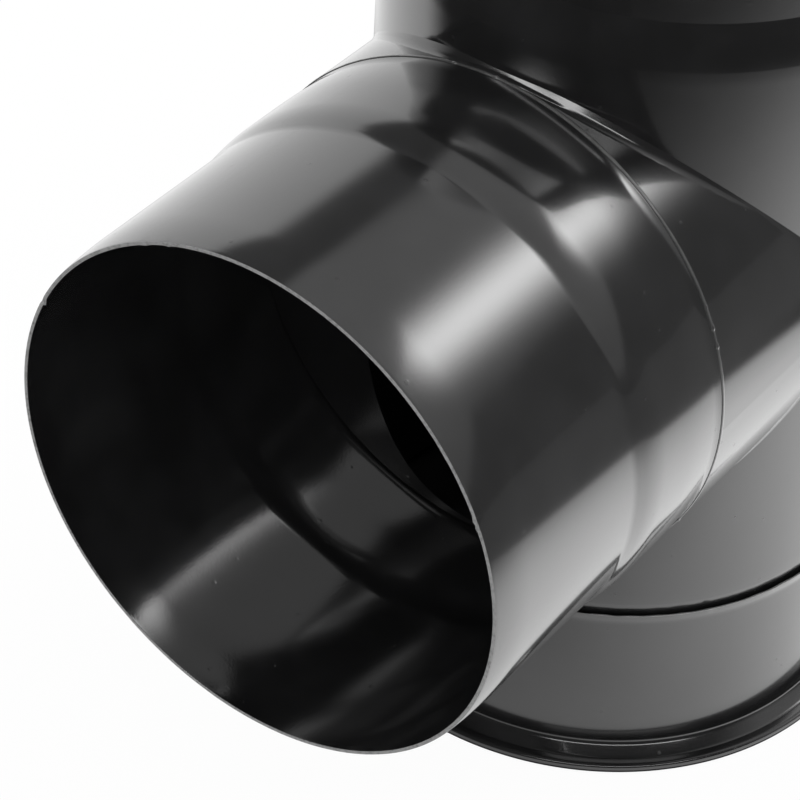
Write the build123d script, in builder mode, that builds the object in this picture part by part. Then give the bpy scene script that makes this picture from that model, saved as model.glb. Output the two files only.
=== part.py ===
# Stove pipe tee in enamelled sheet steel. A vertical run has a collar drawn out of its side, a swaged
# branch is butt-welded to that collar, and a slip-on cap closes the lower end of the run.
# Millimetres. +Z is up along the run, the branch points along -Y, and the origin is the centre of the
# underside of the cap.
from build123d import *
from math import radians, tan
import os

# Sheet and pipe
sheet = 0.8
pipe_diameter = 122.6
swage_step = 1.5
swage_slope = 8.0

# Run and its drawn collar
upper_spigot_length = 19.0
rise_above_collar = 9.9
drop_below_collar = 12.1
collar_step = 0.5
collar_blend = 0.9

# Branch and its weld
branch_body_length = 24.6
branch_spigot_length = 47.1
lead_in_length = 6.3
lead_in_step = 0.6
weld_width = 0.6
weld_height = 0.3

# Cap
cap_height = 45.4
cap_clearance = 1.0
seat_gap = 0.3
lip_flare = 0.4
lip_length = 2.5
shoulder_height = 3.7
rim_overhang = 6.3
hem_bevel = 0.75
hem_lap = 1.9
hem_clearance = 0.05
spigot_base_gap = 3.3

# Radii shared by the pieces that fit each other
pipe_radius = pipe_diameter / 2
spigot_radius = pipe_radius - swage_step
collar_radius = pipe_radius - collar_step
cap_inner_radius = spigot_radius + cap_clearance
cap_outer_radius = cap_inner_radius + sheet
rim_radius = cap_outer_radius + rim_overhang

# Every swage has the same slope, so its length follows from its step
slope = tan(radians(swage_slope))
run_swage_length = swage_step / slope
branch_swage_length = (swage_step - collar_step) / slope

# Heights along the run: the lip of the cap stops against the slope of the lower swage
seat_rise = (pipe_radius - cap_inner_radius - lip_flare + seat_gap) / slope
lower_end = sheet + spigot_base_gap
lower_swage_top = cap_height + seat_rise
lower_swage_foot = lower_swage_top - run_swage_length
branch_height = lower_swage_top + drop_below_collar + pipe_radius
upper_swage_foot = branch_height + pipe_radius + rise_above_collar
upper_swage_top = upper_swage_foot + run_swage_length
upper_end = upper_swage_top + upper_spigot_length

# Distances along the branch, measured from the axis of the run
weld_start = pipe_radius + collar_blend
seam = weld_start + weld_width / 2
branch_body_end = seam + branch_body_length
branch_swage_end = branch_body_end + branch_swage_length
mouth = branch_swage_end + branch_spigot_length

# Hem of the cap: the rim of the base is folded up, over and down onto the flange of the wall
fold_radius = rim_radius - sheet
flange_radius = fold_radius - hem_clearance
flange_underside = sheet + hem_clearance
lap_radius = fold_radius - hem_lap
lap_underside = flange_underside + sheet + hem_clearance
lap_top = lap_underside + sheet

# Local X runs out along the branch and local Y is the radius from its axis
branch_plane = Plane(origin=(0, 0, branch_height), x_dir=(0, -1, 0), z_dir=(-1, 0, 0))
branch_axis = Axis(branch_plane.origin, branch_plane.x_dir)


def tee_form(inset, overrun):
    """Solid form of the run and its collar, set in from the outer surface and longer at its open ends."""
    with BuildPart() as form:
        with BuildSketch(Plane.XZ):
            with BuildLine():
                Polyline(
                    (0, lower_end - overrun),
                    (spigot_radius - inset, lower_end - overrun),
                    (spigot_radius - inset, lower_swage_foot),
                    (pipe_radius - inset, lower_swage_top),
                    (pipe_radius - inset, upper_swage_foot),
                    (spigot_radius - inset, upper_swage_top),
                    (spigot_radius - inset, upper_end + overrun),
                    (0, upper_end + overrun),
                    close=True,
                )
            make_face()
        revolve(axis=Axis.Z)
        with BuildSketch(Plane.XZ):
            with Locations((0, branch_height)):
                Circle(collar_radius - inset)
        extrude(amount=seam + overrun)
    return form.part


# Run: the collar is blended into the wall along their saddle-shaped meeting line, then the form is hollowed
run_form = tee_form(inset=0, overrun=0)
flue_form = tee_form(inset=sheet, overrun=sheet)
with BuildPart() as run_pipe:
    add(run_form)
    curved_edges = run_pipe.edges().filter_by(GeomType.LINE, reverse=True)
    saddle = curved_edges.filter_by(GeomType.CIRCLE, reverse=True)
    fillet(saddle, radius=collar_blend)
    add(flue_form, mode=Mode.SUBTRACT)
run_pipe.part.label = "run_pipe"

# Branch: a tube as wide as the collar, swaged down to a spigot that tapers a little at its mouth
with BuildPart() as branch_pipe:
    with BuildSketch(branch_plane):
        with BuildLine():
            branch_line = Polyline(
                (seam, collar_radius),
                (branch_body_end, collar_radius),
                (branch_swage_end, spigot_radius),
                (mouth - lead_in_length, spigot_radius),
                (mouth, spigot_radius - lead_in_step),
            )
            offset(branch_line, amount=sheet, kind=Kind.INTERSECTION, side=Side.RIGHT)
        make_face()
    revolve(axis=branch_axis)
branch_pipe.part.label = "branch_pipe"

# Weld: a low bead with a ridge along the joint, from the end of the collar onto the end of the branch
with BuildPart() as branch_weld:
    with BuildSketch(branch_plane):
        with BuildLine():
            Polyline(
                (weld_start, collar_radius),
                (seam, collar_radius + weld_height),
                (weld_start + weld_width, collar_radius),
                close=True,
            )
        make_face()
    revolve(axis=branch_axis)
branch_weld.part.label = "branch_weld"

# Cap wall: a flared lip, a straight wall, a sloping shoulder and a flat flange for the hem
with BuildPart() as cap_shell:
    with BuildSketch(Plane.XZ):
        with BuildLine():
            wall_line = Polyline(
                (cap_inner_radius + lip_flare, cap_height),
                (cap_inner_radius, cap_height - lip_length),
                (cap_inner_radius, flange_underside + shoulder_height),
                (cap_inner_radius + shoulder_height, flange_underside),
                (flange_radius, flange_underside),
            )
            offset(wall_line, amount=sheet, kind=Kind.INTERSECTION, side=Side.LEFT)
        make_face()
    revolve(axis=Axis.Z)
cap_shell.part.label = "cap_shell"

# Cap base: a disc whose rim is folded up, over and down onto the flange
with BuildPart() as cap_base:
    with BuildSketch(Plane.XZ):
        with BuildLine():
            Polyline(
                (0, 0),
                (rim_radius - hem_bevel, 0),
                (rim_radius, hem_bevel),
                (rim_radius, lap_top - hem_bevel),
                (rim_radius - hem_bevel, lap_top),
                (lap_radius, lap_top),
                (lap_radius, lap_underside),
                (fold_radius, lap_underside),
                (fold_radius, sheet),
                (0, sheet),
                close=True,
            )
        make_face()
    revolve(axis=Axis.Z)
cap_base.part.label = "cap_base"

os.makedirs("parts", exist_ok=True)
for piece in (run_pipe, branch_pipe, branch_weld, cap_shell, cap_base):
    export_step(piece.part, f"parts/{piece.part.label}.step")
    print(piece.part.label, "volume", round(piece.part.volume), "solids", len(piece.part.solids()))
print("overall height", round(upper_end, 1), "branch height", round(branch_height, 1), "reach", round(mouth, 1))
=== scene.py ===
# %% [markdown]
# # A stove pipe tee in black enamel
# The tee joins the pipe that comes from a stove to the flue that goes up. It has a vertical run, a
# branch welded to its side and a cap on its lower end, which is pulled off to sweep out the soot.
# The solids come from CAD as a fixed frame, and everything here is dressed around them in metres.

# %% Load the frame
import math

import bmesh
import bpy
from mathutils import Matrix, Vector, noise


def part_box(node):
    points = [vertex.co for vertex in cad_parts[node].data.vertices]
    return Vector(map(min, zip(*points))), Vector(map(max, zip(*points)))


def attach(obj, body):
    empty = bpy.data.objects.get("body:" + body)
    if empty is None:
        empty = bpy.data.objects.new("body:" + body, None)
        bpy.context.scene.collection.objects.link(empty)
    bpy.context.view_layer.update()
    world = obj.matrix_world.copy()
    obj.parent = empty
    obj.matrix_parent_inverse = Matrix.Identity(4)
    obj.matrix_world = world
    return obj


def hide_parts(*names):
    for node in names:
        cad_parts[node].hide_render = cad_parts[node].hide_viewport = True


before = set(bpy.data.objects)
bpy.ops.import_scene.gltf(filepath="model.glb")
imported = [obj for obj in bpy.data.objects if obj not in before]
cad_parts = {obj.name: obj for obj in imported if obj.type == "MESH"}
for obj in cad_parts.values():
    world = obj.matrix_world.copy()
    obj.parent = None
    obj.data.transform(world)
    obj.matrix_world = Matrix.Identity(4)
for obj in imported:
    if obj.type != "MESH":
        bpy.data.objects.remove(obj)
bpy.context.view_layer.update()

# %% [markdown]
# ## Sizes
# A piece that stands for a solid has to lie exactly where the solid lies. Most sizes are therefore
# measured on the loaded solids, and only what a box can't show, such as the sheet, is written here.

# %% Measure the solids
MM = 0.001
SHEET = 0.8 * MM
SWAGE_SLOPE = math.tan(math.radians(8.0))
RUN_STEP = 1.5 * MM
BRANCH_STEP = 1.0 * MM
BRANCH_SPIGOT = 47.1 * MM
UPPER_SPIGOT = 19.0 * MM

branch_low, branch_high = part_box("branch_pipe")
BRANCH_HEIGHT = (branch_low.z + branch_high.z) / 2
BODY_RADIUS = (branch_high.z - branch_low.z) / 2
SPIGOT_RADIUS = BODY_RADIUS - BRANCH_STEP
SEAM, MOUTH = -branch_high.y, -branch_low.y
SWAGE_END = MOUTH - BRANCH_SPIGOT

run_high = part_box("run_pipe")[1]
PIPE_RADIUS = run_high.x
RUN_SWAGE = RUN_STEP / SWAGE_SLOPE
UPPER_SWAGE_FOOT = run_high.z - UPPER_SPIGOT - RUN_SWAGE
CAP_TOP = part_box("cap_shell")[1].z
HEM_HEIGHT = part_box("cap_base")[1].z
RIM_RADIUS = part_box("cap_base")[1].x
print("branch height", round(BRANCH_HEIGHT, 4), "mouth", round(MOUTH, 4), "cap top", round(CAP_TOP, 4))

# %% [markdown]
# ## Turned sheet
# Most of the pieces are round about one axis, so they can be turned on a lathe: draw the cut through
# the sheet once, then spin it. Blender's Screw modifier does that too, but here the points are placed
# one by one, so that a drop of enamel or a lump of weld can push them out of round. Sheet never bends
# to a sharp line, so each corner of the outline becomes a short curve first.

# %% A soft outline
BEND_STEPS = 8
LONGEST_SIDE = 4 * MM


def soften(corners, reaches):
    """A closed outline whose corners are curves that reach so far along their two sides."""
    points = []
    for i, (corner, reach) in enumerate(zip(corners, reaches)):
        corner = Vector(corner)
        if reach == 0:
            points.append(corner)
            continue
        before, after = Vector(corners[i - 1]), Vector(corners[(i + 1) % len(corners)])
        start = corner + (before - corner).normalized() * reach
        end = corner + (after - corner).normalized() * reach
        for step in range(BEND_STEPS + 1):
            t = step / BEND_STEPS
            points.append(start.lerp(corner, t).lerp(corner.lerp(end, t), t))
    return points


def divide(outline):
    """The same outline with points added, so that no side is longer than the longest allowed."""
    points = []
    for here, there in zip(outline, outline[1:] + outline[:1]):
        count = max(1, math.ceil((there - here).length / LONGEST_SIDE))
        points += [here.lerp(there, k / count) for k in range(count)]
    return points


# %% [markdown]
# Two ways of standing the outline up are needed. About the run, angles are counted from the branch
# towards +X, and along is the height. About the branch, they are counted from the top towards +X, and
# along is the distance from the axis of the run.

# %% The lathe
SAME_PLACE = 1e-7


def about_run(along, radius, angle):
    return Vector((radius * math.sin(angle), -radius * math.cos(angle), along))


def about_branch(along, radius, angle):
    return Vector((radius * math.sin(angle), -along, BRANCH_HEIGHT + radius * math.cos(angle)))


def turn(name, outline, stand, count, push=None):
    """A mesh object made by turning a closed outline of (along, radius), each point pushed if asked."""
    bm = bmesh.new()
    angles = [2 * math.pi * k / count for k in range(count)]
    rings = []
    for along, radius in outline:
        spots = [push(along, radius, a) if push else (along, radius) for a in angles]
        rings.append([bm.verts.new(stand(*spot, a)) for spot, a in zip(spots, angles)])
    for i, ring in enumerate(rings):
        other = rings[(i + 1) % len(rings)]
        if outline[i][1] + outline[(i + 1) % len(rings)][1] > 0:
            for k in range(count):
                bm.faces.new((ring[k - 1], ring[k], other[k], other[k - 1]))
    bmesh.ops.remove_doubles(bm, verts=bm.verts, dist=SAME_PLACE)
    bmesh.ops.recalc_face_normals(bm, faces=bm.faces)
    mesh = bpy.data.meshes.new(name)
    bm.to_mesh(mesh)
    bm.free()
    mesh.shade_smooth()
    piece = bpy.data.objects.new(name, mesh)
    bpy.context.scene.collection.objects.link(piece)
    print(name, len(mesh.polygons), "faces")
    return piece


# %% [markdown]
# ## Drops and lumps
# Enamel is dipped or sprayed on as a slurry and fired, so it gathers in drops along cut edges. A drop
# is a bump of a certain height at a certain angle, and it fades out over its own width.

# %% A bump at an angle
def bump_at(angle, centre, width):
    """1 at the centre angle in degrees, fading smoothly to 0 at the width, in degrees too."""
    away = (math.degrees(angle) - centre + 180) % 360 - 180
    t = max(0.0, 1 - abs(away) / width)
    return t * t * (3 - 2 * t)


# %% [markdown]
# ## Branch
# The branch is a rolled tube. Its outer end is swaged so that the next pipe slides over it: the slope
# begins softly on the body and ends in a crisp line on the spigot. The heat of the weld has drawn the
# sheet in to a shallow neck, and the last few millimetres at the mouth taper as a lead-in.

# %% Turn the branch
SHEET_COUNT = 480
EDGE_REACH = 0.2 * MM
LEAD_IN = 0.6 * MM
DROP_REACH = 1.0 * MM
EDGE_WAVE = 0.06 * MM
MOUTH_DROPS = [(-65, 0.9, 0.75), (63.5, 0.8, 0.5), (65.2, 0.9, 0.35), (-27, 1.6, 0.2), (-21, 1.2, 0.25)]

branch_skin = [
    (SEAM - 0.4 * MM, BODY_RADIUS - 0.08 * MM, 0),
    (SEAM + 1.6 * MM, BODY_RADIUS - 0.34 * MM, 1.2 * MM),
    (SEAM + 8.2 * MM, BODY_RADIUS + 0.07 * MM, 5.2 * MM),
    (SWAGE_END - 6.6 * MM, BODY_RADIUS + 0.1 * MM, 3.3 * MM),
    (SWAGE_END - 0.4 * MM, SPIGOT_RADIUS, 1.1 * MM),
    (MOUTH - 5.7 * MM, SPIGOT_RADIUS, 4.8 * MM),
    (MOUTH, SPIGOT_RADIUS - LEAD_IN, EDGE_REACH),
]
branch_lining = [(along, radius - SHEET, reach) for along, radius, reach in reversed(branch_skin)]
branch_corners = branch_skin + branch_lining
branch_outline = soften(
    [(along, radius) for along, radius, reach in branch_corners],
    [reach for along, radius, reach in branch_corners],
)


def mouth_drops(along, radius, angle):
    """Drops on the inner side of the cut edge, and a faint waviness of the edge itself."""
    near = max(0.0, 1 - (MOUTH - along) / DROP_REACH)
    if near == 0:
        return along, radius
    wave = noise.noise(Vector((math.sin(angle) * 9, math.cos(angle) * 9, 3.1))) * EDGE_WAVE
    drop = sum(bump_at(angle, centre, width) * depth for centre, width, depth in MOUTH_DROPS) * MM
    inner = 1.0 if radius < SPIGOT_RADIUS - LEAD_IN - SHEET / 2 else 0.25
    return along - abs(wave) * near, radius - drop * near * inner


branch = turn("branch_tube", divide(branch_outline), about_branch, SHEET_COUNT, mouth_drops)
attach(branch, "tee")
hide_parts("branch_pipe")

# %% [markdown]
# ## Drawn collar
# The collar is drawn out of the wall of the run through a die, so the sheet flares from one into the
# other. The solid has a plain small blend there. On the real tee the flare leaves the wall in a sloping
# facet, which catches the light in the crotch, and then eases onto the collar. It is widest in the
# crotch, where the weld cuts it short, and nearly gone at the sides. So its outline is drawn anew at
# each angle, softened like the others, and closed inside the metal.

# %% Draw the flare
FLARE_COUNT = 720
CROTCH_FACET, SIDE_FACET = 0.95 * MM, 0.12 * MM
CROTCH_REACH, SIDE_REACH = 3.0 * MM, 0.3 * MM
CROTCH_KNEE, SIDE_KNEE = 0.7 * MM, 0.08 * MM
FACET_SLOPE = 1.12
WELD_LINE = SEAM - 0.3 * MM


def corner_along(radius, angle):
    """How far along the branch the wall of the run lies, at a radius and angle about the branch."""
    return math.sqrt(max(0.0, PIPE_RADIUS ** 2 - (radius * math.sin(angle)) ** 2))


def least(first, second):
    """The smaller of two lengths, easing over from one to the other."""
    return 1 / math.hypot(1 / first, 1 / second)


def flare_outline(angle):
    """The cut through the flare at one angle: down its facet, along the collar and back."""
    face = math.cos(angle) ** 2
    corner = corner_along(BODY_RADIUS, angle)
    room = WELD_LINE - 0.2 * MM - corner
    facet = least(CROTCH_FACET * face ** 2 + SIDE_FACET, room - 0.25 * MM)
    out = least(CROTCH_REACH * face + SIDE_REACH, room)
    knee = CROTCH_KNEE * face ** 2 + SIDE_KNEE
    up = knee + FACET_SLOPE * facet
    wall = corner_along(BODY_RADIUS + up, angle)
    rest = out - facet
    corners = [
        (wall - 0.02 * MM * face, BODY_RADIUS + up),
        (corner + facet, BODY_RADIUS + knee),
        (corner + facet + 0.5 * rest, BODY_RADIUS + 0.2 * knee),
        (corner + out, BODY_RADIUS - 0.02 * MM),
        (corner - 0.4 * MM * face, BODY_RADIUS - 0.4 * MM),
    ]
    return soften(corners, [0, 0.35 * min(facet, rest), 0.35 * rest, 0, 0])


flare_bm = bmesh.new()
flare_rings = []
for k in range(FLARE_COUNT):
    angle = 2 * math.pi * k / FLARE_COUNT
    spots = [about_branch(*point, angle) for point in flare_outline(angle)]
    flare_rings.append([flare_bm.verts.new(spot) for spot in spots])
for k, ring in enumerate(flare_rings):
    other = flare_rings[k - 1]
    for i in range(len(ring)):
        flare_bm.faces.new((other[i - 1], other[i], ring[i], ring[i - 1]))
    for i in (0, -2):
        flare_bm.edges.get((other[i], ring[i])).smooth = False
bmesh.ops.recalc_face_normals(flare_bm, faces=flare_bm.faces)
flare_mesh = bpy.data.meshes.new("collar_flare")
flare_bm.to_mesh(flare_mesh)
flare_bm.free()
for polygon in flare_mesh.polygons:
    polygon.use_smooth = True
flare = bpy.data.objects.new("collar_flare", flare_mesh)
bpy.context.scene.collection.objects.link(flare)
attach(flare, "tee")
print("collar_flare", len(flare_mesh.polygons), "faces")

# %% [markdown]
# ## Weld
# The joint between the collar and the branch is welded without filler, so the bead is hardly more
# than a thread, uneven in height, with small beads of spatter on it. It is turned like the branch, and
# each point is then pushed out by noise and by the spatter.

# %% Turn the weld
WELD_WIDTH = 0.9 * MM
WELD_HEIGHT = 0.08 * MM
WELD_COUNT = 1440
LUMP_SPREAD = 0.8
LUMP_RISE = 6.0
WELD_SPATTER = [(-10.2, 0.55, 0.5), (-0.5, 0.6, 0.6), (61.5, 0.6, 0.5), (66.0, 0.9, 0.7), (70, 0.8, 0.6),
                (118, 0.8, 0.5), (-95, 0.7, 0.5), (171, 0.6, 0.6), (-140, 0.9, 0.4)]

weld_outline = soften(
    [
        (WELD_LINE - 0.5 * WELD_WIDTH, BODY_RADIUS - 0.03 * MM),
        (WELD_LINE - 0.17 * WELD_WIDTH, BODY_RADIUS + WELD_HEIGHT),
        (WELD_LINE + 0.17 * WELD_WIDTH, BODY_RADIUS + WELD_HEIGHT),
        (WELD_LINE + 0.6 * WELD_WIDTH, BODY_RADIUS - 0.18 * MM),
    ],
    [0, 0.14 * MM, 0.14 * MM, 0],
)


def weld_lumps(along, radius, angle):
    """An uneven bead that widens and rises where spatter stuck to it."""
    spot = Vector((math.sin(angle) * 25, math.cos(angle) * 25, 0.0))
    uneven = 1 + 0.35 * noise.noise(spot) + 0.25 * noise.noise(spot * 3.7)
    lump = sum(bump_at(angle, centre, width) * size for centre, width, size in WELD_SPATTER)
    lift = max(0.0, radius - BODY_RADIUS)
    wide = (along - WELD_LINE) * (1 + LUMP_SPREAD * lump)
    return WELD_LINE + wide, radius + lift * (uneven - 1 + LUMP_RISE * lump)


weld = turn("weld_bead", weld_outline, about_branch, WELD_COUNT, weld_lumps)
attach(weld, "tee")
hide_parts("branch_weld")

# %% [markdown]
# ## Cap
# The cap is two stampings. The wall has a lip that flares a little to slip over the run, and its foot
# spreads into a flange. The base is a disc whose rim is folded over that flange, a lock seam that needs
# no weld. On the real cap the fold is a round bead, and that is what catches the light.

# %% Turn the wall of the cap
CAP_CLEARANCE = 1.0 * MM
HEM_CLEARANCE = 0.05 * MM
CAP_INNER = SPIGOT_RADIUS + CAP_CLEARANCE
LIP_FLARE = 0.55 * MM
LIP_LENGTH = 2.5 * MM
SHOULDER = 3.7 * MM
SHOULDER_RISE = 3.0 * MM
FLANGE_LOW = SHEET + HEM_CLEARANCE
FLANGE_RADIUS = RIM_RADIUS - SHEET - HEM_CLEARANCE
SLOPE_SHIFT = SHEET * math.tan(math.radians(22.5))
LIP_DROPS = [(55, 0.9, 0.5), (49, 2.4, 0.15), (71, 3.0, 0.2), (-38, 1.2, 0.4), (150, 1.4, 0.4),
             (-121, 1.0, 0.35)]
LIP_ROUND = 0.45 * MM
LIP_DROP_REACH = 1.4 * MM
LIP_RAGGED = 0.17 * MM

wall_outline = soften(
    [
        (CAP_TOP - 0.25 * MM, CAP_INNER + LIP_FLARE),
        (CAP_TOP - LIP_LENGTH, CAP_INNER),
        (FLANGE_LOW + SHOULDER_RISE, CAP_INNER),
        (FLANGE_LOW, CAP_INNER + SHOULDER),
        (FLANGE_LOW, FLANGE_RADIUS),
        (FLANGE_LOW + SHEET, FLANGE_RADIUS),
        (FLANGE_LOW + SHEET, CAP_INNER + SHOULDER + SLOPE_SHIFT),
        (FLANGE_LOW + SHOULDER_RISE + SLOPE_SHIFT, CAP_INNER + SHEET),
        (CAP_TOP - LIP_LENGTH, CAP_INNER + SHEET),
        (CAP_TOP, CAP_INNER + SHEET + LIP_FLARE),
    ],
    [
        LIP_ROUND, 0.8 * MM, 1.2 * MM, 0.8 * MM, 0.1 * MM,
        0.1 * MM, 0.8 * MM, 1.0 * MM, 0.8 * MM, 0.2 * MM,
    ],
)


def lip_drops(along, radius, angle):
    """Lumps of enamel on the lip of the cap."""
    near = max(0.0, 1 - (CAP_TOP - along) / LIP_DROP_REACH)
    if near == 0:
        return along, radius
    ragged = noise.noise(Vector((math.sin(angle) * 14, math.cos(angle) * 14, 7.7))) * LIP_RAGGED
    drop = sum(bump_at(angle, centre, width) * size for centre, width, size in LIP_DROPS) * MM
    return along + (drop * 0.6 + ragged) * near, radius + drop * 0.5 * near


wall = turn("cap_wall", divide(wall_outline), about_run, SHEET_COUNT, lip_drops)
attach(wall, "cap")
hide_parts("cap_shell")

# %% [markdown]
# The base is one disc, and its hem is part of the same outline: up round the rim, over, and down onto
# the flange. Two wide soft corners make the rim a roll, and a small one rounds the edge of the lap.

# %% Turn the base of the cap
BASE_COUNT = 240
HEM_LAP = 1.9 * MM
HEM_ROLL = 1.2 * MM
FOLD_RADIUS = RIM_RADIUS - SHEET

base_outline = soften(
    [
        (0.0, 0.0),
        (0.0, RIM_RADIUS),
        (HEM_HEIGHT, RIM_RADIUS),
        (HEM_HEIGHT - 0.1 * MM, FOLD_RADIUS - HEM_LAP),
        (HEM_HEIGHT - SHEET, FOLD_RADIUS - HEM_LAP),
        (HEM_HEIGHT - SHEET, FOLD_RADIUS),
        (SHEET, FOLD_RADIUS),
        (SHEET, 0.0),
    ],
    [0, HEM_ROLL, HEM_ROLL, 0.3 * MM, 0.1 * MM, 0.2 * MM, 0.2 * MM, 0],
)
base = turn("cap_base_hemmed", base_outline, about_run, BASE_COUNT)
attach(base, "cap")
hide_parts("cap_base")

# %% [markdown]
# ## Writing shaders as sums
# A material is a graph of nodes, and a graph is hard to read in Python. This small class holds one
# output of a node and lets it be added or multiplied like a number: every sign adds a Math node. Any
# other node comes from one method, which sets the node's own settings first and its inputs after that.

# %% One wire of a shader
class Wire:
    def __init__(self, tree, socket=None):
        self.tree = tree
        self.socket = socket

    def node(self, kind, settings=None, output=0, **inputs):
        """A new node of this kind, with its settings and inputs, as the wire of one of its outputs."""
        made = self.tree.nodes.new("ShaderNode" + kind)
        for name, value in (settings or {}).items():
            setattr(made, name, value)
        for name, value in inputs.items():
            key = int(name[1:]) if name[0] == "i" and name[1:].isdigit() else name.replace("_", " ")
            if isinstance(value, Wire):
                self.tree.links.new(value.socket, made.inputs[key])
            else:
                made.inputs[key].default_value = value
        return Wire(self.tree, made.outputs[output])

    def math(self, operation, first, second=0.0):
        return self.node("Math", {"operation": operation}, i0=first, i1=second)

    def __add__(self, other):
        return self.math("ADD", self, other)

    def __sub__(self, other):
        return self.math("SUBTRACT", self, other)

    def __rsub__(self, other):
        return self.math("SUBTRACT", other, self)

    def __mul__(self, other):
        return self.math("MULTIPLY", self, other)

    def __gt__(self, other):
        return self.math("GREATER_THAN", self, other)

    def __lt__(self, other):
        return self.math("LESS_THAN", self, other)

    def __pow__(self, other):
        return self.math("POWER", self, other)

    def __rpow__(self, other):
        return self.math("POWER", other, self)

    __radd__ = __add__
    __rmul__ = __mul__

    def ramp(self, low, high, at_low=0.0, at_high=1.0, kind="SMOOTHSTEP"):
        """This value mapped from one range to another and held at the ends."""
        settings = {"interpolation_type": kind}
        return self.node("MapRange", settings, i0=self, i1=low, i2=high, i3=at_low, i4=at_high)

    def blend(self, first, second):
        """A colour mixed from two by this value."""
        settings = {"data_type": "RGBA"}
        return self.node("Mix", settings, output=2, i0=self, i6=first, i7=second)

    def dot(self, direction):
        """How far this vector reaches along a direction."""
        settings = {"operation": "DOT_PRODUCT"}
        return self.node("VectorMath", settings, output="Value", i0=self, i1=direction)

    def into(self, node, name):
        self.tree.links.new(self.socket, node.inputs[name])


# %% [markdown]
# ## Black enamel
# Vitreous enamel is a skin of black glass. Close up it isn't a perfect mirror: the skin is slightly
# rippled, like orange peel, and dust fired into it stands up as specks. These are too small for geometry
# and go into a bump. Each cell of a Voronoi pattern has a random colour, which decides whether that cell
# holds a speck.

# %% The grain of the enamel
PEEL_SCALE = 1900.0
RIPPLE_SCALE = 260.0
CLOUD_SCALE = 38.0
SPECK_SCALE = 230.0
SPECK_CHANCE = 0.2


def grain(wire, place):
    """Four patterns from 0 to 1: orange peel, ripple, clouds and specks."""
    peel = wire.node("TexNoise", Vector=place, Scale=PEEL_SCALE, Detail=1.0)
    ripple = wire.node("TexNoise", Vector=place, Scale=RIPPLE_SCALE, Detail=2.0)
    cloud = wire.node("TexNoise", Vector=place, Scale=CLOUD_SCALE, Detail=4.0, Roughness=0.6)
    distance = wire.node("TexVoronoi", Vector=place, Scale=SPECK_SCALE)
    cell_colour = wire.node("TexVoronoi", output="Color", Vector=place, Scale=SPECK_SCALE)
    chance = wire.node("SeparateColor", Color=cell_colour)
    speck = distance.ramp(0.05, 0.16, 1.0, 0.0) * (chance > 1 - SPECK_CHANCE)
    return peel, ripple, cloud, speck


# %% [markdown]
# Two things depend on where a place is. On a cut edge the enamel has burnt thin and pale. At the foot of
# a swage the solid has a hard line, and a bump can bend it softly: the height it takes off is the gap
# between the corner and a parabola that leaves the one side and joins the other.

# %% Burnt edges and soft feet
BURNT_DEPTH = (0.22 * MM, 0.06 * MM)


def burnt_edge(wire, place, peel, axis, edge):
    """1 on a cut edge, which lies at one place along an axis, and 0 away from it."""
    near = wire.node("SeparateXYZ", output=axis, Vector=place) * math.copysign(1, edge)
    start, full = (abs(edge) - depth for depth in BURNT_DEPTH)
    return near.ramp(start, full) * peel.ramp(0.2, 0.6, 0.55, 1.0)


def soft_foot(wire, place, foot, reach):
    """The height that a soft bend takes off at the foot of a swage, which reaches so far each way."""
    along = wire.node("SeparateXYZ", output="Z", Vector=place)
    t = along.ramp(foot - reach, foot + reach, -1.0, 1.0, kind="LINEAR")
    bend = (t + 1) ** 2 * 0.25 - wire.math("MAXIMUM", t, 0.0)
    return bend * (SWAGE_SLOPE * abs(reach))


# %% [markdown]
# Nearly all that is seen of black enamel is reflection, so its index of refraction matters more than its
# colour, and a thin clear coat on top adds the sharper part of the gloss. Inside the pipes there is only
# the ground coat, which has no clear coat: a face is inside when its normal points back at the axis of
# the pipe.

# %% Make the enamel
PEEL_HEIGHT = 6.5e-6
RIPPLE_HEIGHT = 5e-6
SPECK_HEIGHT = 1.6e-5
BURNT_EDGE = (0.27, 0.27, 0.27, 1.0)


def enamel(name, dark, pale, spokes, soft_feet=(), cut_edge=None):
    """Black enamel between two close colours. Spokes are the two vectors that turn a place into its
    offset from the axis of the pipe. A soft foot is (height, reach), and a cut edge (axis, place)."""
    material = bpy.data.materials.new(name)
    material.use_nodes = True
    tree = material.node_tree
    shader = tree.nodes["Principled BSDF"]
    shader.inputs["IOR"].default_value = 1.75
    shader.inputs["Coat Weight"].default_value = 1.0
    shader.inputs["Coat Roughness"].default_value = 0.07
    shader.inputs["Coat IOR"].default_value = 1.5

    wire = Wire(tree)
    place = wire.node("TexCoord", output="Object")
    peel, ripple, cloud, speck = grain(wire, place)
    colour = (cloud.ramp(0.35, 0.7) * 0.8 + speck * 0.2).blend(dark, pale)
    roughness = cloud * 0.05 + speck * 0.15 + 0.13
    if cut_edge:
        burnt = burnt_edge(wire, place, peel, *cut_edge)
        colour = burnt.blend(colour, BURNT_EDGE)
        roughness = roughness + burnt * 0.35
        (1 - burnt).into(shader, "Coat Weight")
    colour.into(shader, "Base Color")
    roughness.into(shader, "Roughness")

    height = peel * PEEL_HEIGHT + ripple * RIPPLE_HEIGHT + speck * SPECK_HEIGHT
    for foot, reach in soft_feet:
        height = height - soft_foot(wire, place, foot, reach)
    bump = wire.node("Bump", Height=height, Distance=1.0, Strength=1.0)
    bump.into(shader, "Normal")

    ground_roughness = cloud * 0.06 + 0.09
    ground = {"Base_Color": colour, "Roughness": ground_roughness, "IOR": 1.7, "Normal": bump}
    ground_coat = wire.node("BsdfPrincipled", **ground)
    scale, shift = spokes
    offset = wire.node("VectorMath", {"operation": "MULTIPLY_ADD"}, i0=place, i1=scale, i2=shift)
    inside = wire.node("NewGeometry", output="Normal").dot(offset) < 0
    finish = wire.node("MixShader", i0=inside, i1=Wire(tree, shader.outputs[0]), i2=ground_coat)
    finish.into(tree.nodes["Material Output"], "Surface")
    print(name, len(tree.nodes), "nodes")
    return material


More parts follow.
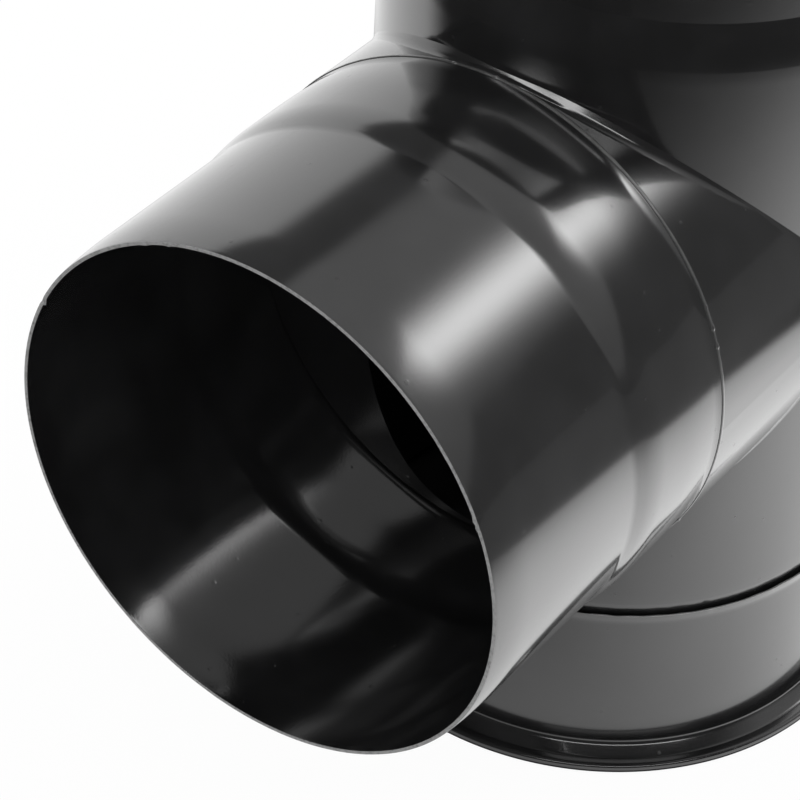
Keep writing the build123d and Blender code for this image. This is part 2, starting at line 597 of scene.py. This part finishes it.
# %% [markdown]
# ## Dressing the pieces
# The run is still the CAD node, whose swages begin at a hard line, so its enamel gets a bump that
# softens those two lines. The weld is paler, because enamel burns thin on a raised bead.

# %% Give each piece its enamel
SEAT_STEP = 0.4 * MM
LOWER_SWAGE_FOOT = CAP_TOP + SEAT_STEP / SWAGE_SLOPE
FOOT_REACH = 3.4 * MM
run_feet = [(UPPER_SWAGE_FOOT, FOOT_REACH), (LOWER_SWAGE_FOOT, -FOOT_REACH)]
INK = (0.008, 0.008, 0.0082, 1.0)
SMOKE = (0.016, 0.016, 0.0165, 1.0)
ASH = (0.05, 0.05, 0.05, 1.0)
PALE_ASH = (0.13, 0.13, 0.13, 1.0)
RUN_SPOKES = ((1, 1, 0), (0, 0, 0))
BRANCH_SPOKES = ((1, 0, 1), (0, 0, -BRANCH_HEIGHT))
run_enamel = enamel("run_enamel", INK, SMOKE, RUN_SPOKES, run_feet)
branch_enamel = enamel("branch_enamel", INK, SMOKE, BRANCH_SPOKES, cut_edge=("Y", -MOUTH))
weld_enamel = enamel("weld_enamel", ASH, PALE_ASH, BRANCH_SPOKES)
cap_enamel = enamel("cap_enamel", INK, SMOKE, RUN_SPOKES, cut_edge=("Z", CAP_TOP))

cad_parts["run_pipe"].material_slots[0].material = run_enamel
for piece in (branch, flare):
    piece.data.materials.append(branch_enamel)
for piece in (wall, base):
    piece.data.materials.append(cap_enamel)
weld.data.materials.append(weld_enamel)
print("enamelled", [piece.name for piece in (branch, flare, wall, base, weld)])

# %% [markdown]
# ## Floor
# The tee stands on a white floor, and a pool of lamp light that lies to its right is painted onto it.
# The floor is white paint that takes the light and the shadow. Most of what the camera sees of it is
# plain white, so that the page stays white, and most of what the enamel mirrors is the painted pool of
# light, which stops at the far edge of a table and fades into a dim room, except on the left, where a
# painted glow stands for a white wall that brightens it, and a faint painted glow lies on the far right.
# A bell curve about a centre is a good pool. Close to the cap, where the floor meets it, a painted
# shadow darkens the pool.

# %% Lay the floor
PAPER = (0.92, 0.92, 0.92, 1.0)
FLOOR_HALF = 4.0
FLOOR_DROP = 0.2 * MM
POOL_CENTRE = (0.17, 0.04, 0.0)
POOL_RADIUS = 0.19
POOL_GLOW = 1.5
LEFT_GLOW = 0.95
RIGHT_GLOW = 0.15
TABLE_SKEW = 0.32
TABLE_EDGE = (0.205, 0.245)
CAP_SHADE = (0.0682, 0.0696)
SEEN_SHARE = 0.96
MIRRORED_SHARE = 0.97


def mirrored_rays(wire):
    """1 for the rays that gloss or glass sends on, and 0 for all others."""
    glossy = wire.node("LightPath", output="Is Glossy Ray")
    return glossy + wire.node("LightPath", output="Is Transmission Ray")


floor_mesh = bpy.data.meshes.new("floor")
corners = [(-1, -1, 0), (1, -1, 0), (1, 1, 0), (-1, 1, 0)]
floor_mesh.from_pydata([Vector(corner) * FLOOR_HALF for corner in corners], [], [(0, 1, 2, 3)])
floor = bpy.data.objects.new("floor", floor_mesh)
floor.location.z = -FLOOR_DROP
bpy.context.scene.collection.objects.link(floor)

floor_paint = bpy.data.materials.new("floor_paint")
floor_paint.use_nodes = True
tree = floor_paint.node_tree
tree.nodes.clear()
wire = Wire(tree)
spot = wire.node("NewGeometry", output="Position")
x = wire.node("SeparateXYZ", output="X", Vector=spot)
y = wire.node("SeparateXYZ", output="Y", Vector=spot)
# Painted light: for mirrored rays the floor glows with a painted pool of lamp light, cut off at the
# table edge and darkened by a painted shadow close to the cap, plus painted glows on the left and far
# right.
away = wire.node("VectorMath", {"operation": "DISTANCE"}, output="Value", i0=spot, i1=POOL_CENTRE)
on_table = (x * TABLE_SKEW + y).ramp(*TABLE_EDGE, 1.0, 0.0)
clear = wire.node("VectorMath", {"operation": "LENGTH"}, output="Value", i0=spot).ramp(*CAP_SHADE)
painted_pool = math.e ** ((away * (1 / POOL_RADIUS)) ** 2 * -1) * on_table * clear * POOL_GLOW
painted_wall_glow = x.ramp(-0.12, -0.26) * y.ramp(-0.2, -0.12) * LEFT_GLOW
painted_right_glow = x.ramp(0.15, 0.3) * y.ramp(-0.1, 0.15) * RIGHT_GLOW

seen = wire.node("LightPath", output="Is Camera Ray")
mirrored = mirrored_rays(wire)
paint = wire.node("BsdfDiffuse", Color=PAPER)
# The camera sees plain white; mirrored rays see the painted pool and glows, mixed with the lit paint.
glow = seen + mirrored * (painted_pool + painted_wall_glow + painted_right_glow)
page = wire.node("Emission", Color=glow, Strength=1.0)
share = seen * SEEN_SHARE + mirrored * MIRRORED_SHARE
mixed = wire.node("MixShader", i0=share, i1=paint, i2=page)
mixed.into(tree.nodes.new("ShaderNodeOutputMaterial"), "Surface")
floor_mesh.materials.append(floor_paint)
print("floor", len(tree.nodes), "nodes")

# %% [markdown]
# ## Light
# The studio is a white table in a dim room, with a softbox behind the tee and to its right. The softbox
# is a real lamp that throws the soft shadow, but it is hidden from mirrored rays, which see a rounder
# glow in the same place.

# %% Set up the softbox
CENTRE = Vector((0.0, -0.06, 0.12))
KEY_AZIMUTH = 149.5
KEY_ELEVATION = 39.5
KEY_DISTANCE = 1.5
KEY_SIDE = 0.75
KEY_RADIANCE = 3.0


def towards(azimuth, elevation):
    """The direction at an azimuth from -Y towards +X and an elevation, in degrees."""
    azimuth, elevation = math.radians(azimuth), math.radians(elevation)
    level = math.cos(elevation)
    return Vector((math.sin(azimuth) * level, -math.cos(azimuth) * level, math.sin(elevation)))


lamp = bpy.data.lights.new("key_softbox", "AREA")
lamp.shape = "RECTANGLE"
lamp.size = KEY_SIDE
lamp.size_y = KEY_SIDE
lamp.energy = KEY_RADIANCE * math.pi * KEY_SIDE * KEY_SIDE
softbox = bpy.data.objects.new("key_softbox", lamp)
key_direction = towards(KEY_AZIMUTH, KEY_ELEVATION)
softbox.location = CENTRE + key_direction * KEY_DISTANCE
softbox.rotation_euler = key_direction.to_track_quat("Z", "Y").to_euler()
softbox.visible_glossy = False
bpy.context.scene.collection.objects.link(softbox)
print("key_softbox", [round(v, 2) for v in softbox.location], round(lamp.energy, 2), "W")

# %% [markdown]
# ## Room
# Black gloss shows its room more than itself. So the world is painted for mirrored rays as that room:
# a white wall behind on the left, a pale panel overhead, the glow of the softbox, a long lamp in front,
# and dimness elsewhere. Each is a patch of directions with soft edges, cut out by ramps whose heights
# are sines of the elevation. For all other rays the world is a plain white sky, so the light on the tee
# stays even.

# %% Paint the room
WHITE = (1.0, 1.0, 1.0, 1.0)
WALL_AZIMUTH = -130
WALL_SIDES, WALL_TOP = (0.4, 0.75), (0.50, 0.585)
WALL_GLOW = 0.82
PANEL_EDGE = (0.2335, -0.6555, 0.7187)
SPOT_ELEVATION = 39.7
SPOT_TIGHTNESS = 95
SPOT_TOP = (0.715, 0.765)
SPOT_GLOW = 5.0
FRONT_AZIMUTH = 18
FRONT_ENDS, FRONT_FOOT, FRONT_TOP = (0.27, 0.38), (0.655, 0.685), (0.712, 0.742)
FRONT_GLOW = 4.8
BACK_GLOW = 0.06
DIM_GLOW = 0.05

world = bpy.data.worlds.new("studio")
bpy.context.scene.world = world
world.use_nodes = True
tree = world.node_tree
tree.nodes.clear()
wire = Wire(tree)
looking = wire.node("TexCoord", output="Generated")
height = wire.node("SeparateXYZ", output="Z", Vector=looking)
side = wire.node("SeparateXYZ", output="X", Vector=looking)
behind = wire.node("SeparateXYZ", output="Y", Vector=looking)
white_wall = looking.dot(towards(WALL_AZIMUTH, 0)).ramp(*WALL_SIDES)
white_wall = white_wall * height.ramp(*WALL_TOP, 1.0, 0.0) * WALL_GLOW
panel = looking.dot(PANEL_EDGE).ramp(-0.03, 0.04) * side.ramp(-0.34, -0.26) * behind.ramp(0.0, 0.4)
panel = panel * height.ramp(0.2, 0.7, 0.2, 0.36)
facing_spot = looking.dot(towards(KEY_AZIMUTH, SPOT_ELEVATION)).ramp(0.0, 1.0, kind="LINEAR")
lamp_spot = facing_spot ** SPOT_TIGHTNESS * SPOT_GLOW * height.ramp(*SPOT_TOP, 1.0, 0.1)
front_lamp = height.ramp(*FRONT_FOOT) * height.ramp(*FRONT_TOP, 1.0, 0.0)
front_lamp = front_lamp * looking.dot(towards(FRONT_AZIMUTH, 0)).ramp(*FRONT_ENDS) * FRONT_GLOW
dim_back = behind.ramp(0.0, 0.6) * BACK_GLOW
room = white_wall + panel + lamp_spot + front_lamp + dim_back + DIM_GLOW
sky = wire.node("Background", Color=WHITE, Strength=1.0)
studio = wire.node("Background", Color=room, Strength=1.0)
mixed = wire.node("MixShader", i0=mirrored_rays(wire), i1=sky, i2=studio)
mixed.into(tree.nodes.new("ShaderNodeOutputWorld"), "Surface")
print("room", len(tree.nodes), "nodes")

# %% [markdown]
# ## Camera
# The view is a close one from above the mouth, with a long lens and a slight roll. The camera's axes
# are worked out from the two angles and the roll, and written straight into its matrix.

# %% Set up the camera
AZIMUTH, ELEVATION, ROLL = 34.06, 40.01, 3.42
TARGET = Vector((-0.0209, -0.0598, 0.0849))
DISTANCE = 0.7248

lens = bpy.data.cameras.new("camera")
lens.sensor_width = 36.0
lens.lens = 145.65
lens.clip_start = 0.01
camera = bpy.data.objects.new("camera", lens)
bpy.context.scene.collection.objects.link(camera)
back = towards(AZIMUTH, ELEVATION)
right = Vector((0, 0, 1)).cross(back).normalized()
up = back.cross(right)
turned = Matrix.Rotation(math.radians(ROLL), 3, back)
axes = Matrix((turned @ right, turned @ up, back)).transposed()
camera.matrix_world = Matrix.Translation(TARGET + back * DISTANCE) @ axes.to_4x4()
bpy.context.scene.camera = camera
bpy.context.scene.view_settings.view_transform = "Standard"
print("camera at", [round(v, 4) for v in camera.matrix_world.translation])
